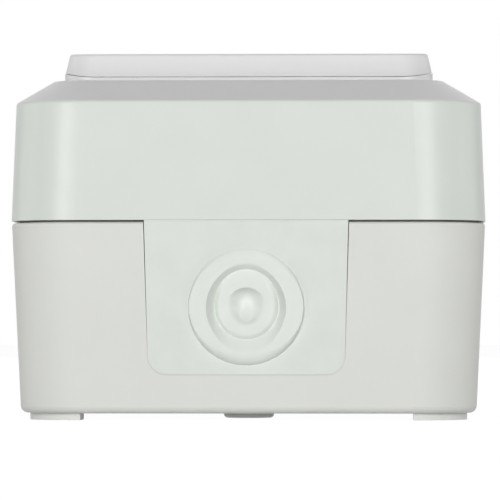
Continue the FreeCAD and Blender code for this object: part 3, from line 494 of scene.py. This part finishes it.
def between(place, other, t):
    """A place part of the way from one to another, as (across, up from the rim)."""
    return (blend(place[0], other[0], t), blend(place[1], other[1], t))


def straight(start, end, steps):
    """Places along a straight line, without its ends."""
    return [between(start, end, t) for t in stations([0, 1], [steps])[1:-1]]


def mixed(outline, other, t):
    """An outline part of the way from one to another."""
    return [between(place, goal, t) for place, goal in zip(outline, other)]


def plate_outline(grow, top):
    """Places round the plate, anticlockwise from its upper right corner."""
    wide, narrow, low = ENTRY_WIDTH / 2 + grow, ENTRY_LOW_WIDTH / 2 + grow, ENTRY_RISE + grow
    corner = ENTRY_CORNER + grow
    lean = math.atan2(wide - narrow, low)
    centre = (narrow - corner * (1 - math.sin(lean)) / math.cos(lean), corner - low)
    turn = stations([-math.pi / 2, -lean], [CORNER_STEPS])
    arc = [(centre[0] + corner * math.cos(a), centre[1] + corner * math.sin(a)) for a in turn]
    right = arc + straight(arc[-1], (wide, top), SIDE_STEPS)
    left = [(-across, up) for across, up in reversed(right)]
    upper = [(wide, top), *straight((wide, top), (-wide, top), TOP_STEPS), (-wide, top)]
    under = straight((-arc[0][0], -low), (arc[0][0], -low), SILL_STEPS)
    return upper + left + under + right


def fitted(inset):
    """The plate's outline, loose at the rim and snug at the sill, moved in a little."""
    top = ENTRY_TOP - TOP_INSET_SHARE * inset
    snug = plate_outline(-ENTRY_SNUG - inset, top)
    loose = plate_outline(-ENTRY_GAP - inset, top)
    return [between(tight, slack, 1 + slack[1] / ENTRY_RISE) for tight, slack in zip(snug, loose)]


def round_ring(values, angle, power=OTHER_CHANGE):
    """A value that changes from the ring's sides to its top and bottom."""
    top, side, bottom = values
    rise = math.sin(angle)
    return blend(side, top if rise > 0 else bottom, abs(rise) ** power)


def dimple_reach(angle):
    """How far the dimple's circle lies from the ring's centre in a direction."""
    aside = DIMPLE_LIFT * math.cos(angle)
    return DIMPLE_LIFT * math.sin(angle) + math.sqrt(DIMPLE_RADIUS**2 - aside**2)


def hollow(rise):
    """Depth of the dimple's floor, which comes up to the core's face at its lower end."""
    return DIMPLE_DEPTH * (1 - progress(rise, DIMPLE_TILT, -DIMPLE_RADIUS) ** DIMPLE_CURVE)


def spot(across, up, proud):
    """A point of the object from a place on the leaning plate and a height above its face."""
    sine, cosine = math.sin(ENTRY_LEAN), math.cos(ENTRY_LEAN)
    return (across, ENTRY_FACE - proud * cosine - up * sine, ENTRY_RIM - proud * sine + up * cosine)


def membrane(angle):
    """Points over the ring's front in one direction, from its centre out to the end of the moat."""
    cosine, sine = math.cos(angle), math.sin(angle)
    dimple = dimple_reach(angle)
    bank = dimple - round_ring(DIMPLE_BANK, angle)
    crown = round_ring(CORE_EDGE, angle)
    foot = round_ring(GROOVE_FOOT, angle)
    wall = round_ring(GROOVE_WALL, angle, WALL_CHANGE)
    shoulder = RING_RADIUS - min(round_ring(RING_SOFT, angle), RING_SOFT_LIMIT * (RING_RADIUS - wall))
    drop = round_ring(GROOVE_DROP, angle, DROP_CHANGE)
    core = round_ring(CORE_DROP, angle)
    moat = round_ring(MOAT_DEPTH, angle)
    bulge = round_ring(GROOVE_BULGE, angle, WALL_CHANGE)
    steep = round_ring(DIMPLE_STEEP, angle)
    marks = [0, bank, dimple, crown, foot, wall, shoulder, RING_RADIUS, MOAT_RADIUS]
    points = []
    for distance in stations(marks, MEMBRANE_STEPS)[1:]:
        inside = progress(distance, dimple, bank)
        fall = progress(distance, wall, foot)
        flank = progress(distance, foot, crown)
        edge = progress(distance, shoulder, RING_RADIUS)
        beyond = progress(distance, RING_RADIUS, MOAT_RADIUS)
        face = blend(CENTRE_DROP, core, progress(distance, 0, dimple))
        height = RING_PROUD - distance * sine * math.tan(ENTRY_LEAN)
        height -= hollow(distance * sine) * blend(smooth(inside), eased(inside, BANK_CURVE), steep)
        height -= drop * blend(eased(fall, GROOVE_CURVE), fall**GROOVE_CURVE, bulge)
        height += (drop - face) * eased(flank, CORE_CURVE)
        height = (height + moat) * (1 - edge**2) ** EDGE_CURVE - moat
        height += moat * eased(beyond, MOAT_CURVE)
        points.append(spot(distance * cosine, RING_MIDDLE + distance * sine, height))
    return points


def insert_loops():
    """Loops over the insert, from its membrane to its outline and round to the hole behind the ring."""
    edge, flat = fitted(0), fitted(ENTRY_SOFT)
    flange = plate_outline(FLANGE_REACH, 0)
    angles = [math.atan2(up - RING_MIDDLE, across) for across, up in flat]

    def level(outline, proud):
        return [spot(across, up, proud) for across, up in outline]

    def circle(radius):
        return [(radius * math.cos(a), RING_MIDDLE + radius * math.sin(a)) for a in angles]

    moat, hole = circle(MOAT_RADIUS), circle(RING_HOLE)
    loops = list(zip(*[membrane(angle) for angle in angles]))
    for t in stations([0, 1], [PLATE_STEPS])[1:]:
        loops.append(level(mixed(moat, flat, t), 0))
    for turn in stations([0, math.pi / 2], [SOFT_STEPS])[1:]:
        loops.append(level(mixed(flat, edge, math.sin(turn)), ENTRY_SOFT * (math.cos(turn) - 1)))
    back = -ENTRY_DEPTH - FLANGE_THICKNESS
    loops += [level(edge, -ENTRY_DEPTH), level(flange, -ENTRY_DEPTH), level(flange, back)]
    loops += [level(hole, back), level(hole, -RING_THICKNESS)]
    return loops


def loft(loops, start, end):
    """Points and faces of a closed skin over loops, between a point at either end."""
    points = [point for loop in loops for point in loop]
    count, last = len(loops[0]), len(points) - len(loops[0])
    first_tip, last_tip = len(points), len(points) + 1
    following = [(i + 1) % count for i in range(count)]
    faces = []
    for low in range(0, last, count):
        high = low + count
        faces += [(low + i, high + i, high + j, low + j) for i, j in enumerate(following)]
    for i, j in enumerate(following):
        faces += [(first_tip, i, j), (last + i, last_tip, last + j)]
    return points + [start, end], faces


def tongue(first):
    """Corners, numbered on from the first, and sides of the tongue that completes the base's own."""
    half = ENTRY_WIDTH / 2 - ENTRY_GAP
    foot = [(-half, TONGUE_FRONT), (half, TONGUE_FRONT), (half, TONGUE_BACK), (-half, TONGUE_BACK)]
    corners = []
    for height in (0, TONGUE_HEIGHT):
        corners += [(across, ENTRY_FACE + inward, ENTRY_RIM + height) for across, inward in foot]
    sides = [(0, 3, 2, 1), (4, 5, 6, 7), (0, 1, 5, 4), (1, 2, 6, 5), (2, 3, 7, 6), (3, 0, 4, 7)]
    return corners, [tuple(first + i for i in side) for side in sides]


def make_insert():
    """The soft plate of the cable entry, with its ring membrane, flange and tongue."""
    front = spot(0, RING_MIDDLE, RING_PROUD - hollow(0) - CENTRE_DROP)
    behind = spot(0, RING_MIDDLE, -RING_THICKNESS)
    points, faces = loft(insert_loops(), front, behind)
    corners, sides = tongue(len(points))
    mesh = bpy.data.meshes.new("entry_insert")
    mesh.from_pydata(points + corners, [], faces + sides)
    mesh.shade_smooth()
    mesh.set_sharp_from_angle(angle=SHARP_ANGLE)
    insert = bpy.data.objects.new("entry_insert", mesh)
    bpy.context.scene.collection.objects.link(insert)
    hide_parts("cable_entry_insert")
    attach(insert, "housing")
    return insert


make_camera()
make_lights()
make_world()
make_floor()
finishes = make_finishes()
dress_nodes(finishes)
make_insert().data.materials.append(finishes["entry_rubber"])
bpy.context.scene.view_settings.view_transform = "Standard"
